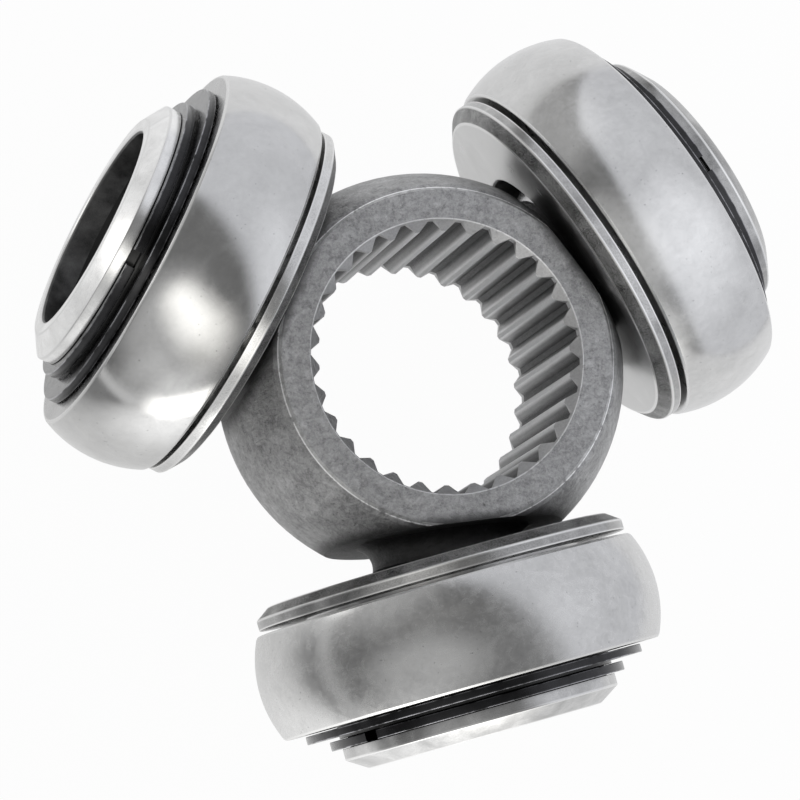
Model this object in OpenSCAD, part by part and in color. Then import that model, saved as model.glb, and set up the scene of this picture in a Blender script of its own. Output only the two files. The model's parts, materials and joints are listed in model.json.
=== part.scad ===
// Tripod of a constant-velocity joint: a splined spider with three ball-shaped trunnions.
// Each trunnion carries a flanged inner ring, a full row of needles, a crowned roller,
// a thrust washer and a split snap ring.
// Z runs along the spline bore, and the origin is where the three trunnion axes meet.
// Lengths are in millimetres and angles in degrees.

/* [Hub] */
// Width of the hub, from face to face
hub_width = 24; // [20:0.5:27]
// Width of the flat ring on each face, from the mouth of the bore to its edge
face_rim = 3.1; // [2:0.1:5]
// How far the rounded side swells past the edges of the faces
belly_rise = 3.3; // [2:0.1:5]
// Wall between the roots of the spline and the flat at the foot of each trunnion
pad_wall = 2.7; // [2.3:0.1:4.5]
// Chamfer on the edge of each face
hub_edge = 0.3; // [0.1:0.05:0.8]

/* [Spline] */
// Number of teeth in the bore
spline_teeth = 30; // [20:1:36]
// Diameter across the tips of the teeth
spline_tip_d = 24.7; // [22:0.1:25.4]
// Height of a tooth, from its root to its tip
tooth_height = 0.95; // [0.5:0.05:1]
// Width of the flat crest of a tooth
tooth_crest = 0.4; // [0.2:0.05:0.6]
// Chamfer at both mouths of the bore
mouth_chamfer = 1.05; // [0.4:0.05:1.5]
// Angle of the first tooth about the hub's axis
spline_angle = 10.2; // [0:0.1:18]

/* [Trunnions] */
// Diameter of the ball on each trunnion
ball_d = 20.4; // [17:0.1:23]
// How far the flat end of the trunnion lies inside the ring's outboard face
end_recess = 2.3; // [0.5:0.1:5]
// Depth of the neck between the hub and the ball, below the ball's surface
neck_depth = 2.9; // [2.4:0.1:3.5]
// Radius at the foot of the neck
neck_fillet = 2; // [1.2:0.1:2.3]
// Largest angle that a roller leans to each side on its ball
lean_limit_angle = 8; // [7.2:0.1:9]
// Gap that the inner ring keeps from the hub when it leans that far
lean_gap = 0.05; // [0.02:0.01:0.3]

/* [Inner rings] */
// Radial clearance between the ball and the bore of the ring
ball_clearance = 0.05; // [0.02:0.01:0.1]
// Wall between the ring's bore and the race that the needles run on
ring_wall = 3.45; // [3:0.05:4.5]
// Gap between the flange and the roller
flange_float = 0.5; // [0.2:0.05:0.7]
// How far the flange's rim lies inside the crown of the roller
flange_inset = 1.6; // [1.2:0.1:2.5]
// Width of the flange's rim
flange_rim = 1; // [0.5:0.1:1.2]
// Chamfer round the flange, along the ring's axis
flange_chamfer = 1; // [0.5:0.1:1.2]
// Chamfer round the flange, across the ring's axis
flange_slope = 1.4; // [0.5:0.1:2]
// Width of the land outboard of the snap ring's groove
nose_land = 1.15; // [0.5:0.05:2]
// Taper round the nose, along the ring's axis
nose_chamfer = 1.3; // [0.5:0.1:1.8]
// Taper round the nose, across the ring's axis
nose_slope = 2.05; // [0.5:0.05:2.4]
// Chamfer at both ends of the ring's bore
bore_edge = 0.3; // [0.1:0.05:0.5]

/* [Needles] */
// Diameter of a needle
needle_d = 2.46; // [2:0.02:2.8]
// Radial clearance of a needle, to the race and to the roller
needle_clearance = 0.02; // [0.01:0.01:0.04]
// Smallest gap between two needles
needle_space = 0.04; // [0.02:0.01:0.2]
// How much shorter the needles are than the roller's width
needle_play = 0.2; // [0.1:0.1:1]
// Chamfer on the ends of a needle
needle_edge = 0.15; // [0.05:0.05:0.3]

/* [Rollers] */
// Wall of a roller, from its bore to the middle of its crown
roller_wall = 3.8; // [3.2:0.1:5]
// Width of a roller
roller_width = 10.4; // [9.6:0.1:10.6]
// Radius of the crowned profile
crown_r = 12; // [10:0.1:18]
// Chamfer on the edges of a roller
roller_edge = 0.22; // [0.1:0.02:0.4]

/* [Washers and snap rings] */
// Thickness of the thrust washer
washer_t = 0.8; // [0.5:0.05:0.9]
// How far the thrust washer reaches past the bore of the roller
washer_lap = 0.65; // [0.4:0.05:1.5]
// Gap between the roller and the thrust washer
washer_float = 0.17; // [0.1:0.01:0.3]
// Radial clearance between the thrust washer and the ring
washer_clearance = 0.06; // [0.02:0.01:0.1]
// Gap between the thrust washer and the snap ring
washer_play = 0.33; // [0.1:0.01:0.4]
// Thickness of the snap ring
snap_t = 0.9; // [0.6:0.05:1.1]
// Height of the snap ring above the race
snap_height = 1.05; // [0.6:0.05:1.3]
// Depth of the snap ring's groove below the race
groove_depth = 0.8; // [0.4:0.05:1]
// Clearance of the snap ring in its groove
groove_clearance = 0.05; // [0.02:0.01:0.1]
// Width of the split in the snap ring
snap_split = 1.6; // [0.5:0.1:4]

/* [Rest pose of roller 1, at the bottom] */
// Angle by which the outboard end drops away from the front face
drop_angle_1 = 1.96; // [-3:0.01:3]
// Angle by which the outboard end swings anticlockwise
swing_angle_1 = 8.18; // [0:0.01:8.3]
// How far the roller lies outboard of its ball
slide_1 = 0.2; // [0.2:0.01:0.4]
// Angle of the snap ring's split, from the front
split_angle_1 = -60; // [-180:1:180]

/* [Rest pose of roller 2, on the right] */
// Angle by which the outboard end drops away from the front face
drop_angle_2 = -4.32; // [-6:0.01:6]
// Angle by which the outboard end swings anticlockwise
swing_angle_2 = -3.22; // [-4:0.01:4]
// How far the roller lies outboard of its ball
slide_2 = -0.1; // [-0.2:0.01:0.4]
// Angle of the snap ring's split, from the front
split_angle_2 = 0; // [-180:1:180]

/* [Rest pose of roller 3, on the left] */
// Angle by which the outboard end drops away from the front face
drop_angle_3 = -4.97; // [-6:0.01:6]
// Angle by which the outboard end swings anticlockwise
swing_angle_3 = -2.24; // [-4:0.01:4]
// How far the roller lies outboard of its ball
slide_3 = -0.1; // [-0.2:0.01:0.4]
// Angle of the snap ring's split, from the front
split_angle_3 = 18; // [-180:1:180]

/* [Hidden] */
$fn = 120;
arms = 3;
needle_facets = 24;
// How far a cut runs past the surface that it starts from
past = 1;
// How far the teeth of the bore run past their roots
root_past = 0.2;

tip_r = spline_tip_d / 2;
root_r = tip_r + tooth_height;
mouth_r = tip_r + mouth_chamfer;

half_width = hub_width / 2;
face_r = mouth_r + face_rim;
belly_r = face_r + belly_rise;
// The hub's side is an arc through the middle of the belly and the edges of both faces
belly_centre = (pow(face_r, 2) + pow(half_width, 2) - pow(belly_r, 2)) / (2 * (face_r - belly_r));
belly_arc_r = belly_r - belly_centre;

ball_r = ball_d / 2;
neck_r = ball_r - neck_depth;
// The neck's fillet bites this much into the neck and the hub, so it meets both at an edge
fillet_bite = 0.1;
fillet_offset = neck_fillet - fillet_bite;
// Distances along the roller's axis, from its middle
half_roller = roller_width / 2;
flange_back = half_roller + flange_float;
flange_reach = flange_back + flange_rim + flange_chamfer;
// The balls lie where a ring at the lean limit clears the corner of the flat below it,
// with the corner on the sphere through the edges of both faces
pad_reach = root_r + pad_wall;
corner_r = max(belly_r, norm([face_r, half_width]));
corner_reach = corner_r * cos(acos(pad_reach / corner_r) - lean_limit_angle);
ball_reach = (corner_reach + lean_gap + flange_reach) / cos(lean_limit_angle);
// The trunnion's foot goes down to the middle of the wall between the flat and the spline
foot_reach = (pad_reach + root_r) / 2;

ring_bore_r = ball_r + ball_clearance;
race_r = ring_bore_r + ring_wall;

needle_r = needle_d / 2;
pitch_r = race_r + needle_clearance + needle_r;
needle_count = floor(180 / asin((needle_d + needle_space) / (2 * pitch_r)));
needle_length = roller_width - needle_play;

roller_bore_r = pitch_r + needle_r + needle_clearance;
roller_r = roller_bore_r + roller_wall;
flange_r = roller_r - flange_inset;
flange_face_r = flange_r - flange_slope;
crown_centre = roller_r - crown_r;
crown_edge_r = crown_centre + sqrt(pow(crown_r, 2) - pow(half_roller - roller_edge, 2));

washer_at = half_roller + washer_float;
snap_at = washer_at + washer_t + washer_play;
groove_r = race_r - groove_depth;
groove_at = snap_at - groove_clearance;
groove_end = snap_at + snap_t + groove_clearance;
snap_bore_r = groove_r + groove_clearance;
snap_r = race_r + snap_height;
nose_reach = groove_end + nose_land + nose_chamfer;
ball_to_end = nose_reach - end_recess;
split_width_angle = 2 * asin(snap_split / (2 * snap_r));

drop_angles = [drop_angle_1, drop_angle_2, drop_angle_3];
swing_angles = [swing_angle_1, swing_angle_2, swing_angle_3];
slides = [slide_1, slide_2, slide_3];
split_angles = [split_angle_1, split_angle_2, split_angle_3];

// The first arm points down the front view, and the others follow anticlockwise
function arm_angle(arm) = -90 + (arm - 1) * 360 / arms;

// Puts a piece whose Z is the arm's axis, with its zero at the middle of the ball
module on_ball(arm) {
    rotate([0, 0, arm_angle(arm)])
        translate([ball_reach, 0, 0])
            rotate([0, 90, 0])
                children();
}

// Puts a piece whose Z is the roller's axis, with its zero at the middle of the roller
module on_roller(arm) {
    rotate([0, 0, arm_angle(arm)])
        translate([ball_reach, 0, 0])
            rotate([0, drop_angles[arm - 1], swing_angles[arm - 1]])
                translate([slides[arm - 1], 0, 0])
                    rotate([0, 90, 0])
                        children();
}

// Hub: a barrel side between two flat faces with broken edges
module hub_profile() {
    run = belly_r - face_r + past;
    intersection() {
        translate([belly_centre, 0])
            circle(r = belly_arc_r);
        polygon([
            [0, -half_width],
            [face_r - hub_edge, -half_width],
            [face_r + run, -half_width + hub_edge + run],
            [face_r + run, half_width - hub_edge - run],
            [face_r - hub_edge, half_width],
            [0, half_width]
        ]);
    }
}

module hub_blank() {
    cut_depth = belly_r - pad_reach + past;
    difference() {
        rotate_extrude()
            hub_profile();
        for (arm = [1:arms])
            rotate([0, 0, arm_angle(arm)])
                translate([pad_reach, -belly_r, -hub_width])
                    cube([cut_depth, 2 * belly_r, 2 * hub_width]);
    }
}

// Trunnion: the foot and its fillet, then the ball with its flat end
module trunnion_profile() {
    pad_at = pad_reach - ball_reach;
    foot_at = foot_reach - ball_reach;
    difference() {
        union() {
            translate([0, foot_at])
                square([neck_r, -foot_at]);
            translate([0, foot_at])
                square([neck_r + fillet_offset, pad_at + fillet_offset - foot_at]);
        }
        translate([neck_r + fillet_offset, pad_at + fillet_offset])
            circle(r = neck_fillet);
    }
    intersection() {
        circle(r = ball_r);
        translate([0, -ball_r - past])
            square([ball_r + past, ball_r + past + ball_to_end]);
    }
}

// One tooth, pointing in to the bore, with flanks at 45 degrees
module tooth() {
    base = tooth_height + root_past;
    translate([tip_r, 0])
        polygon([
            [0, -tooth_crest / 2],
            [base, -tooth_crest / 2 - base],
            [base, tooth_crest / 2 + base],
            [0, tooth_crest / 2]
        ]);
}

module splined_bore() {
    translate([0, 0, -half_width - past])
        linear_extrude(height = hub_width + 2 * past)
            difference() {
                circle(r = root_r);
                for (i = [0:spline_teeth - 1])
                    rotate(i * 360 / spline_teeth + spline_angle)
                        tooth();
            }
    for (side = [0, 1])
        mirror([0, 0, side])
            translate([0, 0, half_width - mouth_chamfer])
                cylinder(r1 = tip_r, r2 = mouth_r + past, h = mouth_chamfer + past);
}

module spider() {
    color("dimgray")
        difference() {
            union() {
                hub_blank();
                for (arm = [1:arms])
                    on_ball(arm)
                        rotate_extrude()
                            trunnion_profile();
            }
            splined_bore();
        }
}

// Inner ring: flange, race, groove for the snap ring, and tapered nose
module inner_ring(arm) {
    color("silver")
        on_roller(arm)
            rotate_extrude()
                polygon([
                    [ring_bore_r, bore_edge - flange_reach],
                    [ring_bore_r + bore_edge, -flange_reach],
                    [flange_face_r, -flange_reach],
                    [flange_r, flange_chamfer - flange_reach],
                    [flange_r, -flange_back],
                    [race_r, -flange_back],
                    [race_r, groove_at],
                    [groove_r, groove_at],
                    [groove_r, groove_end],
                    [race_r, groove_end],
                    [race_r, nose_reach - nose_chamfer],
                    [race_r - nose_slope, nose_reach],
                    [ring_bore_r + bore_edge, nose_reach],
                    [ring_bore_r, nose_reach - bore_edge]
                ]);
}

module needle() {
    half_length = needle_length / 2;
    rotate_extrude($fn = needle_facets)
        polygon([
            [0, -half_length],
            [needle_r - needle_edge, -half_length],
            [needle_r, needle_edge - half_length],
            [needle_r, half_length - needle_edge],
            [needle_r - needle_edge, half_length],
            [0, half_length]
        ]);
}

module needle_set(arm) {
    color("gainsboro")
        on_roller(arm)
            for (i = [0:needle_count - 1])
                rotate(i * 360 / needle_count)
                    translate([pitch_r, 0, 0])
                        needle();
}

// Roller: a crowned outside on a plain bore, with broken edges
module outer_roller(arm) {
    run = roller_r - crown_edge_r + past;
    color("lightgray")
        on_roller(arm)
            rotate_extrude()
                intersection() {
                    translate([crown_centre, 0])
                        circle(r = crown_r);
                    polygon([
                        [roller_bore_r, roller_edge - half_roller],
                        [roller_bore_r + roller_edge, -half_roller],
                        [crown_edge_r - roller_edge, -half_roller],
                        [crown_edge_r + run, run + roller_edge - half_roller],
                        [crown_edge_r + run, half_roller - roller_edge - run],
                        [crown_edge_r - roller_edge, half_roller],
                        [roller_bore_r + roller_edge, half_roller],
                        [roller_bore_r, half_roller - roller_edge]
                    ]);
                }
}

module thrust_washer(arm) {
    bore_r = race_r + washer_clearance;
    outer_r = roller_bore_r + washer_lap;
    color("darkslategray")
        on_roller(arm)
            rotate_extrude()
                translate([bore_r, washer_at])
                    square([outer_r - bore_r, washer_t]);
}

module snap_ring(arm) {
    color("black")
        on_roller(arm)
            rotate(180 - split_angles[arm - 1] + split_width_angle / 2)
                rotate_extrude(angle = 360 - split_width_angle)
                    translate([snap_bore_r, snap_at])
                        square([snap_r - snap_bore_r, snap_t]);
}

spider();
for (arm = [1:arms]) {
    inner_ring(arm);
    needle_set(arm);
    outer_roller(arm);
    thrust_washer(arm);
    snap_ring(arm);
}
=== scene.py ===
import json
import bpy
import bmesh
from math import asin, cos, pi, radians, sin, sqrt, tan
from mathutils import Matrix, Vector


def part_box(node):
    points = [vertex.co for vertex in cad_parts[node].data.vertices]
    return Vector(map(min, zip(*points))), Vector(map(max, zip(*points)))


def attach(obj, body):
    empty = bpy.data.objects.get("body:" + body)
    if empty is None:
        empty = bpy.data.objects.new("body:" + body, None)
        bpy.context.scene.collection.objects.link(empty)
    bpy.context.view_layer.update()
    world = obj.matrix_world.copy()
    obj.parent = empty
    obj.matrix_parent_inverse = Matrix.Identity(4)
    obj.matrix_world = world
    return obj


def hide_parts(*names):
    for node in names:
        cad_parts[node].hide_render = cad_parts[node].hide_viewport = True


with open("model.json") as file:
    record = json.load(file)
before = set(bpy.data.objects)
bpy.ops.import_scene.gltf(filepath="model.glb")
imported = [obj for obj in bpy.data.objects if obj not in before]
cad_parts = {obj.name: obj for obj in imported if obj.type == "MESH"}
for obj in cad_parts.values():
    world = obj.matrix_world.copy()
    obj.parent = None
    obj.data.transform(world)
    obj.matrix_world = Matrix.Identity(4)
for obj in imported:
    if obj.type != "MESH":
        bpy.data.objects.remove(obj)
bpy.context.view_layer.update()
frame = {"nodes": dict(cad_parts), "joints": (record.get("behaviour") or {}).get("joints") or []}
mm = 0.001
arms = (1, 2, 3)  # bottom, right and left in the photograph
print("stage 1: packed frame loaded")


# A socket that grows Math nodes when it is used in a sum
class Wire:
    def __init__(self, tree, socket):
        self.tree, self.socket = tree, socket

    # Any other node: its settings first, then the values or links of its sockets
    def add(self, kind, settings=None, inputs=None, out=0):
        made = self.tree.nodes.new(kind)
        for name, value in (settings or {}).items():
            setattr(made, name, value)
        for name, value in (inputs or {}).items():
            if isinstance(value, Wire):
                self.tree.links.new(value.socket, made.inputs[name])
            else:
                made.inputs[name].default_value = value
        return Wire(self.tree, made.outputs[out])

    def math(self, operation, first, second=0.0):
        return self.add("ShaderNodeMath", {"operation": operation}, {0: first, 1: second})

    def __add__(self, other): return self.math("ADD", self, other)
    def __radd__(self, other): return self.math("ADD", other, self)
    def __sub__(self, other): return self.math("SUBTRACT", self, other)
    def __rsub__(self, other): return self.math("SUBTRACT", other, self)
    def __mul__(self, other): return self.math("MULTIPLY", self, other)
    def __rmul__(self, other): return self.math("MULTIPLY", other, self)
    def __pow__(self, other): return self.math("POWER", self, other)

    def size(self): return self.math("ABSOLUTE", self)
    def root(self): return self.math("SQRT", self)
    def most(self, other): return self.math("MAXIMUM", self, other)

    # 0 below low, 1 above high, and smooth between
    def rise(self, low, high):
        return self.add("ShaderNodeMapRange", {"interpolation_type": "SMOOTHSTEP"},
                        {"Value": self, "From Min": low, "From Max": high})

    # 1 within half of place, fading to 0 over soft
    def near(self, place, half, soft):
        return 1 - (self - place).size().rise(half, half + soft)

    def noise(self, scale, detail, rough, warp=0.0):
        return self.add("ShaderNodeTexNoise", None, {"Vector": self, "Scale": scale, "Detail": detail,
                                                     "Roughness": rough, "Distortion": warp})

    # a noise that swings by this amount, about 0 or about a middle value
    def swing(self, amount): return (self - 0.5) * amount
    def about(self, middle, amount): return self.swing(amount) + middle

    def vectorMath(self, operation, inputs, out="Vector"):
        return self.add("ShaderNodeVectorMath", {"operation": operation}, inputs, out)

    def dot(self, direction): return self.vectorMath("DOT_PRODUCT", {0: self, 1: tuple(direction)}, "Value")
    def length(self): return self.vectorMath("LENGTH", {0: self}, "Value")
    def less(self, place): return self.vectorMath("SUBTRACT", {0: self, 1: tuple(place)})
    def plus(self, other): return self.vectorMath("ADD", {0: self, 1: other})
    def times(self, factors): return self.vectorMath("MULTIPLY", {0: self, 1: tuple(factors)})
    # this value along a fixed vector, such as a colour
    def shade(self, colour): return self.vectorMath("SCALE", {0: tuple(colour), "Scale": self})

    # this mask chooses between two values
    def pick(self, low, high):
        return self.add("ShaderNodeMix", {"data_type": "FLOAT"}, {0: self, 2: low, 3: high})


# The largest of several masks
def anyOf(masks):
    found = masks[0]
    for mask in masks[1:]:
        found = found.most(mask)
    return found


# A Principled material; the maker gets the place in millimetres and returns what varies
def newMaterial(name, constants, maker):
    material = bpy.data.materials.new(name)
    material.use_nodes = True
    tree = material.node_tree
    shader = tree.nodes["Principled BSDF"]
    for socket, value in constants.items():
        shader.inputs[socket].default_value = value
    place = Wire(tree, tree.nodes.new("ShaderNodeTexCoord").outputs["Object"])
    for socket, wire in maker(place.times((1 / mm,) * 3)).items():
        if socket == "Bump":
            height, depth = wire
            wire = height.add("ShaderNodeBump", None, {"Height": height, "Distance": depth * mm})
            socket = "Normal"
        tree.links.new(wire.socket, shader.inputs[socket])
    return material


def newObject(name, mesh, material, slot, body, *nodes):
    piece = bpy.data.objects.new(name, mesh)
    bpy.context.scene.collection.objects.link(piece)
    mesh.materials.append(material)
    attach(piece, body)
    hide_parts(*nodes)


# A CAD node keeps its mesh and gets a better material
def dressNode(name, material):
    slots = frame["nodes"][name].data.materials
    slots.clear()
    slots.append(material)


# An arm's roller axis and the middle of its roller, in millimetres, and a frame along them
def armOf(number):
    spin = next(joint for joint in frame["joints"] if joint["name"] == f"roller_spin_{number}")
    low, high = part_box(f"outer_roller_{number}")
    axis = Vector(spin["axis"]).normalized()
    centre = (Vector(low) + Vector(high)) / 2 / mm
    level = Vector((0, 0, 1)).cross(axis).normalized()
    turned = Matrix((axis, level, axis.cross(level))).transposed().to_4x4()
    return {"axis": axis, "centre": centre, "frame": Matrix.Translation(centre) @ turned,
            "ball": Vector(spin["pos_m"]) / mm}


armAt = {number: armOf(number) for number in arms}

# How finely the turned pieces are made, how much of an edge a rounding may take at most, and the
# angle in degrees from which an edge is sharp
turning = {"segments": 288, "cornerSteps": 5, "cutShare": 0.45, "sharpFrom": 40}


# Rounds the corners of a closed profile; each point is (along, radius, rounding)
def roundedProfile(points):
    made = []
    count, steps, share = len(points), turning["cornerSteps"], turning["cutShare"]
    for i, (along, radius, rounding) in enumerate(points):
        here = Vector((along, radius))
        if rounding <= 0:
            made.append(here)
            continue
        back = Vector(points[i - 1][:2]) - here
        ahead = Vector(points[(i + 1) % count][:2]) - here
        cut = min(rounding / tan(back.angle(ahead) / 2), share * back.length, share * ahead.length)
        start, end = here + back.normalized() * cut, here + ahead.normalized() * cut
        for step in range(steps + 1):
            t = step / steps
            made.append(start * (1 - t) ** 2 + here * (2 * t * (1 - t)) + end * t ** 2)
    return made


# Turns a closed profile about the X axis of the frame; angles run from the front towards the level axis
def turnedMesh(name, profile, matrix, segments=turning["segments"], start=0.0, turn=2 * pi):
    work = bmesh.new()
    whole = turn > 2 * pi - 0.001
    rows = []
    for i in range(segments if whole else segments + 1):
        angle = start + turn * i / segments
        spoke = Vector((0, sin(angle), cos(angle)))
        rows.append([work.verts.new(matrix @ (Vector((along, 0, 0)) + spoke * radius) * mm)
                     for along, radius in profile])
    count = len(profile)
    for i in range(segments):
        here, ahead = rows[i], rows[(i + 1) % len(rows)]
        for k in range(count):
            after = (k + 1) % count
            work.faces.new((here[k], ahead[k], ahead[after], here[after]))
    if not whole:
        work.faces.new(rows[0])
        work.faces.new(rows[-1][::-1])
    bmesh.ops.recalc_face_normals(work, faces=work.faces)
    mesh = bpy.data.meshes.new(name)
    work.to_mesh(mesh)
    work.free()
    mesh.shade_smooth()
    mesh.set_sharp_from_angle(angle=radians(turning["sharpFrom"]))
    return mesh


# Camera at the photograph's angle; millimetres and degrees
view = {"target": (-2.283, -2.059, 0.0), "distance": 481.915, "around": -150.728, "height": 74.074,
        "roll": -8.258, "lens": 222.047, "sensor": 36.0, "clip": (0.02, 20)}


def placeCamera():
    around, height = radians(view["around"]), radians(view["height"])
    back = Vector((cos(height) * cos(around), cos(height) * sin(around), sin(height)))
    level = Vector((0, 1, 0))
    up = (level - back * level.dot(back)).normalized()
    up.rotate(Matrix.Rotation(radians(view["roll"]), 3, back))
    turned = Matrix((up.cross(back), up, back)).transposed().to_4x4()
    data = bpy.data.cameras.new("camera")
    data.lens, data.sensor_width = view["lens"], view["sensor"]
    data.clip_start, data.clip_end = view["clip"]
    camera = bpy.data.objects.new("camera", data)
    camera.matrix_world = Matrix.Translation((Vector(view["target"]) + back * view["distance"]) * mm) @ turned
    bpy.context.scene.collection.objects.link(camera)
    bpy.context.scene.camera = camera


placeCamera()
bpy.context.scene.view_settings.view_transform = "Standard"
print("stage 2: camera placed")

# A small light tent, in millimetres and degrees
studio = {
    # the floor: its side in metres, its finish, and how much of plain white the camera sees on it
    "floor": 3.0, "floorColour": 0.7, "floorRoughness": 0.9, "seen": 0.97,
    # the surround's light, and its glows: azimuth and height, inner and outer radius, strength
    "base": 0.195,
    "glows": ((224.5, 45.5, 1, 43.5, 0.34), (131.5, 12, 13.5, 46, 0.28), (247, 1, 8.5, 37.5, 0.29),
              (266.5, 2, 1, 28.5, 0.43)),
    # light on the floor that only the steel sees: place, inner and outer radius, share; none of it
    # under the hub (shaded) or behind the foot of the side panel (panelFoot, along panelWay)
    "pools": (((0, 0), 900, 2000, 0.46), ((-42, -111), 45, 98, 0.5), ((-150, -62), 41, 128, -0.6)),
    "shaded": (3, 15), "panelFoot": (70, 84), "panelWay": (1, 0.09, 0), "poolLight": 1.3,
    # fades are the shares of the half width and the half height that fade towards the rim
    "lamps": {
        "side": {"place": (67, 80, -12), "facing": (-0.772, -0.072, -0.676), "along": (-0.74, 0.666, 0),
                 "width": 670, "height": 270, "radiance": 0.585, "fades": (0.02, 0.15), "spread": 180,
                 "colour": (0.93, 0.945, 1.0)},
        "streak": {"place": (-30.5, -9.5, 45.5), "facing": (12.5, 72.5, -36), "along": (-0.5, 0.7, 0.277),
                   "width": 82, "height": 37, "radiance": 1.3, "fades": (0.75, 0.99), "spread": 166,
                   "colour": (1.0, 0.985, 0.945)},
        "hot": {"place": (42, 39.5, 48), "facing": (-30.5, 34.5, -55), "along": (0, 1, 0),
                "width": 228, "height": 81, "radiance": 0.68, "fades": (0.95, 0.95), "spread": 105,
                "colour": (0.95, 0.965, 1.0)},
        "front": {"place": (-23, -92, 3), "facing": (-0.3, 1, 0), "along": (1, 0, 0),
                  "width": 140, "height": 34, "radiance": 2.4, "fades": (0.9, 0.55), "spread": 180,
                  "colour": (1.0, 0.985, 0.945)},
        "corner": {"place": (-130, 75, 8), "facing": (1.3, -0.75, 0), "along": (0.5, 0.87, 0),
                   "width": 60, "height": 50, "radiance": 1.1, "fades": (0.3, 0.3), "spread": 180,
                   "colour": (1.0, 0.99, 0.97)}}}


def buildSurround():
    world = bpy.data.worlds.new("surround")
    bpy.context.scene.world = world
    world.use_nodes = True
    tree = world.node_tree
    direction = Wire(tree, tree.nodes.new("ShaderNodeTexCoord").outputs["Generated"])
    camera = Wire(tree, tree.nodes.new("ShaderNodeLightPath").outputs["Is Camera Ray"])
    level = camera * 0 + studio["base"]
    for azimuth, height, inner, outer, strength in studio["glows"]:
        a, h = radians(azimuth), radians(height)
        facing = direction.dot((cos(h) * cos(a), cos(h) * sin(a), sin(h)))
        level = level + facing.rise(cos(radians(outer)), cos(radians(inner))) * strength
    level = camera.pick(level, 1.0)
    background = tree.nodes["Background"]
    tree.links.new(level.socket, background.inputs["Strength"])
    background.inputs["Color"].default_value = (1, 1, 1, 1)


def buildFloor():
    low = min(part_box(node)[0][2] for node in frame["nodes"])
    bpy.ops.mesh.primitive_plane_add(size=studio["floor"], location=(0, 0, low))
    floor = bpy.context.object
    floor.name = "floor"
    material = bpy.data.materials.new("pale floor")
    material.use_nodes = True
    tree = material.node_tree
    shader = tree.nodes["Principled BSDF"]
    shader.inputs["Base Color"].default_value = (studio["floorColour"],) * 3 + (1,)
    shader.inputs["Roughness"].default_value = studio["floorRoughness"]
    path = tree.nodes.new("ShaderNodeLightPath")
    camera, glossy, clear = (Wire(tree, path.outputs[name])
                             for name in ("Is Camera Ray", "Is Glossy Ray", "Is Transmission Ray"))
    spot = Wire(tree, tree.nodes.new("ShaderNodeTexCoord").outputs["Object"]).times((1 / mm, 1 / mm, 0))
    pool = camera * 0
    for (x, y), inner, outer, strength in studio["pools"]:
        pool = pool + (1 - spot.less((x, y, 0)).length().rise(inner, outer)) * strength
    pool = pool.most(0.0) * spot.length().rise(*studio["shaded"]) \
        * (1 - spot.dot(studio["panelWay"]).rise(*studio["panelFoot"]))
    share = camera * studio["seen"] + (glossy + clear) * pool
    glow = camera.add("ShaderNodeEmission", None, {"Color": (1, 1, 1, 1),
                                                   "Strength": camera.pick(studio["poolLight"], 1.0)})
    mixed = share.add("ShaderNodeMixShader", None, {0: share, 1: Wire(tree, shader.outputs[0]), 2: glow})
    tree.links.new(mixed.socket, tree.nodes["Material Output"].inputs["Surface"])
    floor.data.materials.append(material)


# A lamp with a narrower spread packs its power into that beam; this is what keeps its radiance
def beamShare(half):
    if half > pi / 2 - 0.001:
        return 1.0
    return 2 * (sin(half) ** 2 / 2 - (half / 2 - sin(2 * half) / 4) / tan(half))


def buildLamp(name, lamp):
    data = bpy.data.lights.new(name, "AREA")
    data.shape = "RECTANGLE"
    data.size, data.size_y = lamp["width"] * mm, lamp["height"] * mm
    data.spread = radians(lamp["spread"])
    data.energy = lamp["radiance"] * pi * data.size * data.size_y * beamShare(data.spread / 2)
    data.color = lamp["colour"]
    data.use_nodes = True
    tree = data.node_tree
    spot = Wire(tree, tree.nodes.new("ShaderNodeNewGeometry").outputs["Parametric"])
    across, up = (1 - spot.dot(unit).swing(2.0).size().rise(1 - fade, 1.0)
                  for unit, fade in zip(((1, 0, 0), (0, 1, 0)), lamp["fades"]))
    tree.links.new((across * up).socket, tree.nodes["Emission"].inputs["Strength"])
    back = -Vector(lamp["facing"]).normalized()
    level = Vector(lamp["along"])
    level = (level - back * level.dot(back)).normalized()
    placed = bpy.data.objects.new(name, data)
    placed.matrix_world = (Matrix.Translation(Vector(lamp["place"]) * mm)
                           @ Matrix((level, back.cross(level), back)).transposed().to_4x4())
    placed.visible_camera = False
    bpy.context.scene.collection.objects.link(placed)


buildSurround()
buildFloor()
for lampName, lampLook in studio["lamps"].items():
    buildLamp(lampName, lampLook)
print("stage 3: studio built")


# The place on an arm: from the roller's middle, how far along the roller's axis, and away from it
def onArm(place, arm):
    off = place.less(arm["centre"])
    along = off.dot(arm["axis"])
    return off, along, off.plus((along * -1).shade(arm["axis"]))


# Lines that run round a piece: a noise, and how much finer it is along the axis than round it
lathe = {"across": 26.0, "round": 0.35, "noise": (1.0, 3.0, 0.6)}


def latheLines(along, spoke, arm):
    place = spoke.times((lathe["round"],) * 3).plus((along * lathe["across"]).shade(arm["axis"]))
    return place.noise(*lathe["noise"])


# How close a surface is to one of the corners (along, radius) of its profile
def edgeMask(along, radius, corners, half, soft):
    return anyOf([1 - ((along - a) ** 2.0 + (radius - r) ** 2.0).root().rise(half, half + soft)
                  for a, r in corners])


# In the looks below a noise is its scale, detail, roughness and distortion, a zone (From, End)
# fades between two places in millimetres or two values of a noise, and two values of a grey or a
# roughness are its middle and how far a noise swings it

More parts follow.
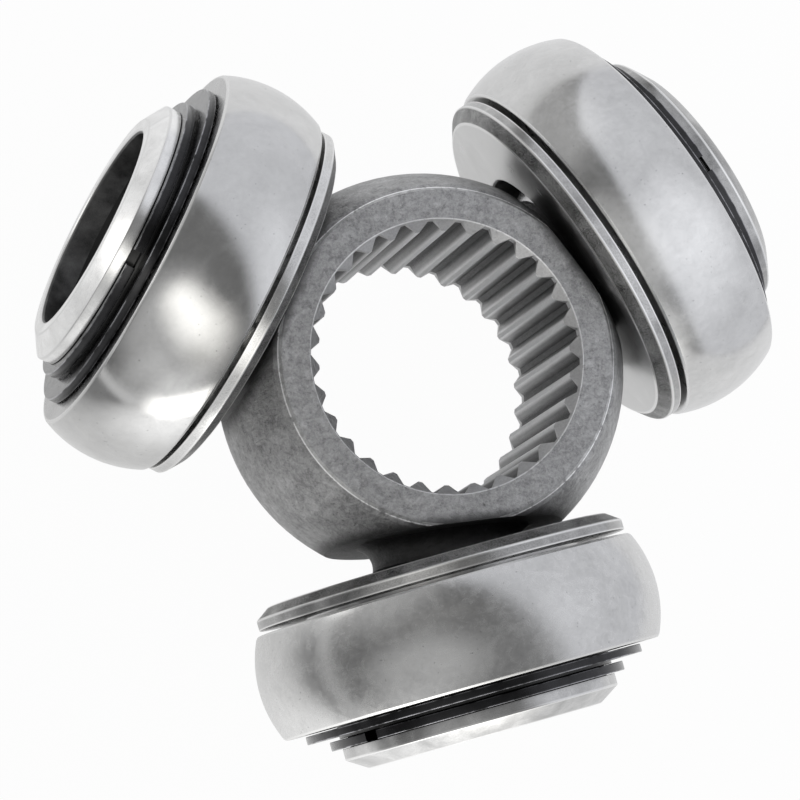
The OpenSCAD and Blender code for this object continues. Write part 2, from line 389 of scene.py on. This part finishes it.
# Hub and trunnions: a forging with a matt grained skin, machined teeth and ground balls
spiderLook = {
    "noises": {"grain": (4.2, 4.0, 0.7), "mottle": (1.3, 4.0, 0.65, 0.4), "fine": (18.0, 2.0, 0.6),
               "cloud": (0.3, 3.0, 0.55), "pit": (2.2, 3.0, 0.6), "speck": (3.3, 2.0, 0.5),
               "streak": (6.0, 3.0, 0.6)},
    "pitFrom": (0.62, 0.72), "speckFrom": (0.70, 0.76), "rubAndHighlightFrom": (0.3, 0.5), "streakAlong": 0.1,
    # by distance from the hub's axis
    "boreEnd": (13.43, 13.48), "tipEnd": (12.40, 12.77), "rootFrom": (12.8, 13.28), "lip": (13.4, 0.03, 0.07),
    # by height above or below the middle
    "faceFrom": (11.98, 11.995), "rimFrom": (11.66, 11.72), "chamferFrom": (10.95, 11.02),
    "lipFrom": (11.88, 11.94), "corner": (11.71, 0.03, 0.05), "frontFrom": (-7, 12),
    # by reach along an arm, and by distance from the arm
    "flatFrom": (14.8, 16.1), "flatEnd": (15.5, 20), "ballFrom": (18.7, 19.0), "endFrom": (33.1, 33.18),
    # greys
    "grey": (0.39, 0.5), "mottle": 0.52, "fine": 0.1, "cloud": 0.1, "pitDark": 0.08, "speckLight": 0.12,
    "sideGrey": (-0.01, 0.3), "toothGrey": (0.42, 0.22), "toothGrain": 0.25, "tipPaintedHighlight": 0.5,
    "rootPaintedShade": 0.26, "frontDark": 0.55, "chamferGrey": (0.62, 0.35), "flatShadeGrey": (0.07, 0.06),
    "rimGrey": (0.5, 0.9), "ballGrey": (0.62, 0.2), "endGrey": (0.85, 0.2), "rubbedAndHighlit": 0.97,
    "tint": (1.0, 1.0, 1.005),
    # roughnesses and metal
    "rough": (0.45, 0.25), "toothRough": (0.42, 0.2), "chamferRough": 0.3, "ballRough": (0.25, 0.2),
    "rimRough": 0.35, "metal": 0.9, "toothMetal": 0.8, "endMetal": 0.2,
    # the parts of the relief, and its depth
    "relief": {"mottle": 1.5, "fine": 0.4, "cloud": 3, "pit": 0.6, "boreLess": 0.5, "ballLess": 0.95},
    "depth": 0.06}


def forgedSkin(place):
    look, relief = spiderLook, spiderLook["relief"]
    x, y, z = [place.dot(unit) for unit in ((1, 0, 0), (0, 1, 0), (0, 0, 1))]
    radius, height = (x ** 2.0 + y ** 2.0).root(), z.size()
    grain, mottle, fine, cloud, pit, speck = (
        place.noise(*look["noises"][name]) for name in ("grain", "mottle", "fine", "cloud", "pit", "speck"))
    pit, speck = pit.rise(*look["pitFrom"]), speck.rise(*look["speckFrom"])
    streak = place.times((1.0, 1.0, look["streakAlong"])).noise(*look["noises"]["streak"])

    bore = 1 - radius.rise(*look["boreEnd"])
    face = height.rise(*look["faceFrom"])
    rim = height.rise(*look["rimFrom"]) * (1 - face) * (1 - bore)
    chamfer = bore * height.rise(*look["chamferFrom"])
    lip = radius.near(*look["lip"]) * height.rise(*look["lipFrom"])
    corner = height.near(*look["corner"]) * (1 - bore)
    # the flats under the trunnions and the necks are painted near black, a painted shade of the narrow recess
    # between the hub and the flanges; the balls are ground
    scale, ball, end = [], [], []
    for arm in armAt.values():
        out = arm["ball"].normalized()
        reach = place.dot(out)
        spread = place.plus((reach * -1).shade(out)).length()
        scale.append(reach.rise(*look["flatFrom"]) * (1 - spread.rise(*look["flatEnd"])))
        ball.append(reach.rise(*look["ballFrom"]))
        end.append(reach.rise(*look["endFrom"]))
    scale, ball, end = anyOf(scale), anyOf(ball), anyOf(end)

    grey = grain.about(*look["grey"]) + mottle.swing(look["mottle"]) + fine.swing(look["fine"]) \
        + cloud.swing(look["cloud"]) - pit * look["pitDark"] + speck * look["speckLight"]
    side = (1 - bore) * (1 - face)
    grey = side.pick(grey, grey + cloud.about(*look["sideGrey"]))
    # teeth: a painted highlight at the tips, painted shade in the roots, and darker towards the front
    tip, root = 1 - radius.rise(*look["tipEnd"]), radius.rise(*look["rootFrom"])
    tooth = streak.about(*look["toothGrey"]) + grain.swing(look["toothGrain"]) \
        + tip * look["tipPaintedHighlight"] - root * look["rootPaintedShade"]
    grey = bore.pick(grey, tooth * (1 - z.rise(*look["frontFrom"]) * (1 - tip) * look["frontDark"]))
    grey = chamfer.pick(grey, grain.about(*look["chamferGrey"]))
    # painted shade: the flats and the necks are made near black
    grey = scale.pick(grey, mottle.about(*look["flatShadeGrey"]))
    grey = rim.pick(grey, mottle.about(*look["rimGrey"]))
    grey = ball.pick(grey, cloud.about(*look["ballGrey"]))
    grey = end.pick(grey, cloud.about(*look["endGrey"]))
    # the lip and the face's corner are rubbed bright in patches, partly a painted highlight along these edges
    grey = (lip.most(corner) * mottle.rise(*look["rubAndHighlightFrom"])).pick(grey, look["rubbedAndHighlit"])

    rough = bore.pick(grain.about(*look["rough"]), grain.about(*look["toothRough"]))
    rough = chamfer.pick(rough, look["chamferRough"])
    rough = ball.pick(rough, cloud.about(*look["ballRough"]))
    rough = rim.pick(rough, look["rimRough"])
    metal = (bore * (1 - chamfer)).pick(look["metal"], look["toothMetal"])
    bumps = grain + mottle * relief["mottle"] + fine * relief["fine"] + cloud * relief["cloud"] \
        - pit * relief["pit"]
    bumps = bumps * (1 - bore * relief["boreLess"]) * (1 - ball * relief["ballLess"])
    return {"Base Color": grey.shade(look["tint"]), "Roughness": rough,
            "Metallic": end.pick(metal, look["endMetal"]), "Bump": (bumps, look["depth"])}


# Outer roller: a ground crown with faint lines round it, smears, stains and a few specks.
# Dirt is how far the stains swing the grey and the roughness of each roller
rollerLook = {
    "half": 5.2, "bore": 16.2, "crownCentre": 8.0, "crown": 12.0, "crownSteps": 24, "edge": 0.22,
    "rounding": 0.16, "boreRounding": 0.1,
    "noises": {"smear": (0.28, 4.0, 0.6, 0.6), "blotch": (0.11, 2.0, 0.5), "grit": (16.0, 2.0, 0.6),
               "speck": (3.1, 1.0, 0.4), "stain": (1.1, 4.0, 0.7, 0.5)},
    "speckFrom": (0.74, 0.78), "sideFrom": (4.95, 5.1), "cornerIn": 0.1, "cornerFade": (0.1, 0.2),
    "grey": 0.66, "smear": 0.2, "blotch": 0.12, "grit": 0.05, "dirt": {1: 0.32, 2: 0.2, 3: 0.12},
    "speckDark": 0.2, "sideGrey": (0.5, 0.2), "rubbedAndHighlit": 0.78, "tint": (1.0, 0.999, 0.992),
    "rough": {1: 0.24, 2: 0.18, 3: 0.15}, "smearRough": 0.2, "turningRough": 0.12, "gritRough": 0.06,
    "sideRough": 0.12, "relief": {"turning": 0.6, "grit": 0.3}, "depth": 0.0035}


def rollerSkin(number):
    def maker(place):
        look, arm = rollerLook, armAt[number]
        off, along, spoke = onArm(place, arm)
        radius, turned = spoke.length(), latheLines(along, spoke, arm)
        smear, blotch, grit, speck, stain = (off.noise(*look["noises"][name])
                                             for name in ("smear", "blotch", "grit", "speck", "stain"))
        speck = speck.rise(*look["speckFrom"])
        dirt = stain.swing(look["dirt"][number])
        side = along.size().rise(*look["sideFrom"])
        top = sqrt(look["crown"] ** 2 - look["half"] ** 2) + look["crownCentre"]
        edge = edgeMask(along.size(), radius, [(look["half"] - look["cornerIn"], top - look["cornerIn"])],
                        *look["cornerFade"])
        grey = smear.about(look["grey"], look["smear"]) + blotch.swing(look["blotch"]) \
            + grit.swing(look["grit"]) + dirt - speck * look["speckDark"]
        grey = side.pick(grey, turned.about(*look["sideGrey"]))
        # the crown's corners are rubbed bright, partly a painted highlight along them
        grey = edge.pick(grey, look["rubbedAndHighlit"])
        rough = smear.about(look["rough"][number], look["smearRough"]) + turned.swing(look["turningRough"]) \
            + grit.swing(look["gritRough"]) + dirt
        bumps = turned * look["relief"]["turning"] + grit * look["relief"]["grit"] - speck
        return {"Base Color": grey.shade(look["tint"]),
                "Roughness": side.pick(rough, rough + look["sideRough"]), "Bump": (bumps, look["depth"])}
    return maker


def rollerProfile():
    look = rollerLook
    half, bore, edge = look["half"], look["bore"], look["edge"]
    soft, inner, reach = look["rounding"], look["boreRounding"], half - edge
    top = look["crownCentre"] + sqrt(look["crown"] ** 2 - reach ** 2)
    crown, tilt = [], asin(reach / look["crown"])
    for step in range(1, look["crownSteps"]):
        angle = tilt - 2 * tilt * step / look["crownSteps"]
        crown.append((look["crown"] * sin(angle), look["crownCentre"] + look["crown"] * cos(angle), 0))
    return roundedProfile([(-reach, bore, inner), (-half, bore + edge, inner), (-half, top - edge, soft),
                           (-reach, top, soft), *crown[::-1], (reach, top, soft), (half, top - edge, soft),
                           (half, bore + edge, inner), (reach, bore, inner)])


# Inner ring: flange, race, groove for the snap ring, and tapered nose.
# The points run along the arm from the roller's middle, flange first; the last value is a rounding
ringLook = {
    "bore": 10.25, "boreEdge": 0.3, "flangeReach": 7.7, "flangeFace": 17.0, "flange": 18.4,
    "flangeChamfer": 1.0, "flangeBack": 5.7, "race": 13.7, "grooveAt": 6.45, "grooveEnd": 7.45,
    "groove": 12.9, "noseAt": 8.6, "noseFace": 11.65, "nose": 9.9,
    "soft": {"bore": 0.12, "flange": 0.14, "back": 0.1, "groove": 0.05, "land": 0.06, "nose": 0.14},
    "noises": {"facing": (0.4, 3.0, 0.6), "grit": (9.0, 3.0, 0.7), "smear": (0.3, 4.0, 0.6, 0.5)},
    "insideEnd": (10.35, 10.5), "chamfer": (-7.15, 0.42, 0.1), "chamferFrom": (16.9, 17.05),
    "coveredFrom": (5.1, 5.2), "coveredEnd": (7.4, 7.45), "noseFrom": (7.3, 7.4), "rimFrom": (18.2, 18.35),
    "cornerFade": (0.07, 0.16),
    "grey": (0.66, 0.24), "turning": 0.14, "noseGreyWithPaintedLight": {1: 0.54, 2: 0.36, 3: 0.9}, "noseSmear": 0.7,
    "noseGrit": 0.3, "rimGrey": {1: 0.4, 2: 0.42, 3: 0.68}, "rimSmear": 0.5, "rimGrit": 0.5,
    "chamferGrey": (0.27, 0.7), "chamferGrit": 1.2, "insideShadeGrey": (0.12, 0.3), "insideGrit": 0.12,
    "coveredShadeGrey": 0.05, "rubbedAndHighlit": 0.8, "tint": (1.0, 0.999, 0.992),
    "rough": (0.23, 0.18), "turningRough": 0.14, "chamferRough": 0.45, "insideRough": (0.42, 0.3),
    "relief": {"turning": 0.5, "chamferGrit": 2}, "depth": 0.006}


def ringProfile():
    look, soft = ringLook, ringLook["soft"]
    return roundedProfile([
        (look["boreEdge"] - look["flangeReach"], look["bore"], soft["bore"]),
        (-look["flangeReach"], look["bore"] + look["boreEdge"], soft["bore"]),
        (-look["flangeReach"], look["flangeFace"], soft["flange"]),
        (look["flangeChamfer"] - look["flangeReach"], look["flange"], soft["flange"]),
        (-look["flangeBack"], look["flange"], soft["back"]),
        (-look["flangeBack"], look["race"], soft["groove"]),
        (look["grooveAt"], look["race"], soft["groove"]),
        (look["grooveAt"], look["groove"], soft["groove"]),
        (look["grooveEnd"], look["groove"], soft["groove"]),
        (look["grooveEnd"], look["race"], soft["land"]),
        (look["noseAt"], look["race"], soft["bore"]),
        (look["nose"], look["noseFace"], soft["nose"]),
        (look["nose"], look["bore"] + look["boreEdge"], soft["bore"]),
        (look["nose"] - look["boreEdge"], look["bore"], soft["bore"])])


def ringSkin(number):
    def maker(place):
        look, arm = ringLook, armAt[number]
        off, along, spoke = onArm(place, arm)
        radius, turned = spoke.length(), latheLines(along, spoke, arm)
        facing, grit, smear = (off.noise(*look["noises"][name]) for name in ("facing", "grit", "smear"))
        inside = 1 - radius.rise(*look["insideEnd"])
        chamfer = along.near(*look["chamfer"]) * radius.rise(*look["chamferFrom"])
        covered = along.rise(*look["coveredFrom"]) * (1 - along.rise(*look["coveredEnd"]))
        nose, rim = along.rise(*look["noseFrom"]), radius.rise(*look["rimFrom"])
        edges = edgeMask(along, radius, [
            (-look["flangeReach"], look["flangeFace"]),
            (look["flangeChamfer"] - look["flangeReach"], look["flange"]),
            (-look["flangeBack"], look["flange"]), (look["nose"], look["noseFace"]),
            (look["nose"], look["bore"] + look["boreEdge"]), (look["noseAt"], look["race"])],
            *look["cornerFade"])
        grey = smear.about(*look["grey"]) + turned.swing(look["turning"])
        # painted light and shade: the nose's grey differs from arm to arm, lightest on arm 3 and darkest on
        # arm 2
        grey = nose.pick(grey, smear.about(look["noseGreyWithPaintedLight"][number], look["noseSmear"])
                         + grit.swing(look["noseGrit"]))
        # painted light and shade: the flange rim's grey differs from arm to arm, lightest on arm 3
        grey = rim.pick(grey, smear.about(look["rimGrey"][number], look["rimSmear"])
                        + grit.swing(look["rimGrit"]))
        grey = chamfer.pick(grey, smear.about(*look["chamferGrey"]) + grit.swing(look["chamferGrit"]))
        # painted shade: the ring's bore is painted dark grey
        grey = inside.pick(grey, facing.about(*look["insideShadeGrey"]) + grit.swing(look["insideGrit"]))
        # painted shade: the race under the washer and the snap ring is painted near black
        grey = covered.pick(grey, look["coveredShadeGrey"])
        # the ring's corners are rubbed bright, partly a painted highlight along them
        grey = edges.pick(grey, look["rubbedAndHighlit"])
        rough = smear.about(*look["rough"]) + turned.swing(look["turningRough"])
        rough = chamfer.pick(rough, look["chamferRough"])
        rough = inside.pick(rough, facing.about(*look["insideRough"]))
        bumps = turned * look["relief"]["turning"] + grit * chamfer * look["relief"]["chamferGrit"]
        return {"Base Color": grey.shade(look["tint"]), "Roughness": rough, "Bump": (bumps, look["depth"])}
    return maker


# Thrust washer and snap ring: stamped and blackened, with corners rubbed bright in patches, partly a painted
# highlight along them
washerLook = {"bore": 13.76, "outer": 16.85, "at": 5.37, "end": 6.17}
snapLook = {"bore": 12.95, "outer": 14.75, "at": 6.5, "end": 7.4, "split": 1.6, "segments": 280,
            "splitAngles": {1: -60.0, 2: 0.0, 3: 18.0}}
blackLook = {
    "coat": {"Metallic": 1.0, "Coat Weight": 0.35, "Coat Roughness": 0.16},
    "noises": {"grit": (10.0, 3.0, 0.65), "smear": (0.6, 3.0, 0.6)}, "cornerFade": (0.02, 0.12),
    "rubAndHighlightFrom": (0.35, 0.6), "grey": (0.03, 0.04), "grit": 0.03, "rubbedAndHighlit": 0.4, "tint": (1.0, 1.0, 1.06),
    "rough": (0.24, 0.15), "gritRough": 0.25, "depth": 0.01, "rounding": 0.1, "boreRounding": 0.06}


def blackSkin(number, shape):
    def maker(place):
        look = blackLook
        off, along, spoke = onArm(place, armAt[number])
        grit, smear = (off.noise(*look["noises"][name]) for name in ("grit", "smear"))
        corners = [(shape["at"], shape["outer"]), (shape["end"], shape["outer"])]
        wornAndHighlit = edgeMask(along, spoke.length(), corners, *look["cornerFade"])
        grey = smear.about(*look["grey"]) + grit.swing(look["grit"])
        # the outer corners are rubbed bright in patches, partly a painted highlight along them
        grey = (wornAndHighlit * smear.rise(*look["rubAndHighlightFrom"])).pick(grey, look["rubbedAndHighlit"])
        rough = smear.about(*look["rough"]) + grit.swing(look["gritRough"])
        return {"Base Color": grey.shade(look["tint"]), "Roughness": rough, "Bump": (grit, look["depth"])}
    return maker


def stripProfile(shape):
    inner, outer = blackLook["boreRounding"], blackLook["rounding"]
    return roundedProfile([(shape["at"], shape["bore"], inner), (shape["at"], shape["outer"], outer),
                           (shape["end"], shape["outer"], outer), (shape["end"], shape["bore"], inner)])


# Needles: polished, with a thin film of oil
needleLook = {"smear": (0.8, 2.0, 0.5), "grey": (0.6, 0.1), "tint": (1.0, 0.995, 0.98), "rough": (0.18, 0.1)}


def needleSkin(place):
    smear = place.noise(*needleLook["smear"])
    return {"Base Color": smear.about(*needleLook["grey"]).shade(needleLook["tint"]),
            "Roughness": smear.about(*needleLook["rough"])}


bareSteel = {"Metallic": 1.0}
needleSteel = newMaterial("polished needle steel", bareSteel, needleSkin)


def buildArm(number):
    matrix, coat = armAt[number]["frame"], blackLook["coat"]
    newObject(f"roller_{number}", turnedMesh(f"roller_{number}", rollerProfile(), matrix),
              newMaterial(f"ground roller steel {number}", bareSteel, rollerSkin(number)),
              "roller_steel", f"roller_body_{number}", f"outer_roller_{number}")
    newObject(f"ring_{number}", turnedMesh(f"ring_{number}", ringProfile(), matrix),
              newMaterial(f"turned ring steel {number}", bareSteel, ringSkin(number)),
              "ring_steel", f"ring_body_{number}", f"inner_ring_{number}")
    newObject(f"washer_{number}", turnedMesh(f"washer_{number}", stripProfile(washerLook), matrix),
              newMaterial(f"black washer steel {number}", coat, blackSkin(number, washerLook)),
              "black_steel", f"washer_body_{number}", f"thrust_washer_{number}")
    # the snap ring starts and ends half its split away from the split's angle
    half = asin(snapLook["split"] / (2 * snapLook["outer"]))
    start = radians(snapLook["splitAngles"][number]) + half
    newObject(f"clip_{number}", turnedMesh(f"clip_{number}", stripProfile(snapLook), matrix,
                                           snapLook["segments"], start, 2 * pi - 2 * half),
              newMaterial(f"black ring steel {number}", coat, blackSkin(number, snapLook)),
              "black_steel", f"ring_body_{number}", f"snap_ring_{number}")
    dressNode(f"needle_set_{number}", needleSteel)


for number in arms:
    buildArm(number)
print("stage 4: rollers, rings, washers and snap rings built")

dressNode("spider", newMaterial("forged grey steel", {}, forgedSkin))
print("stage 5: spider finished")
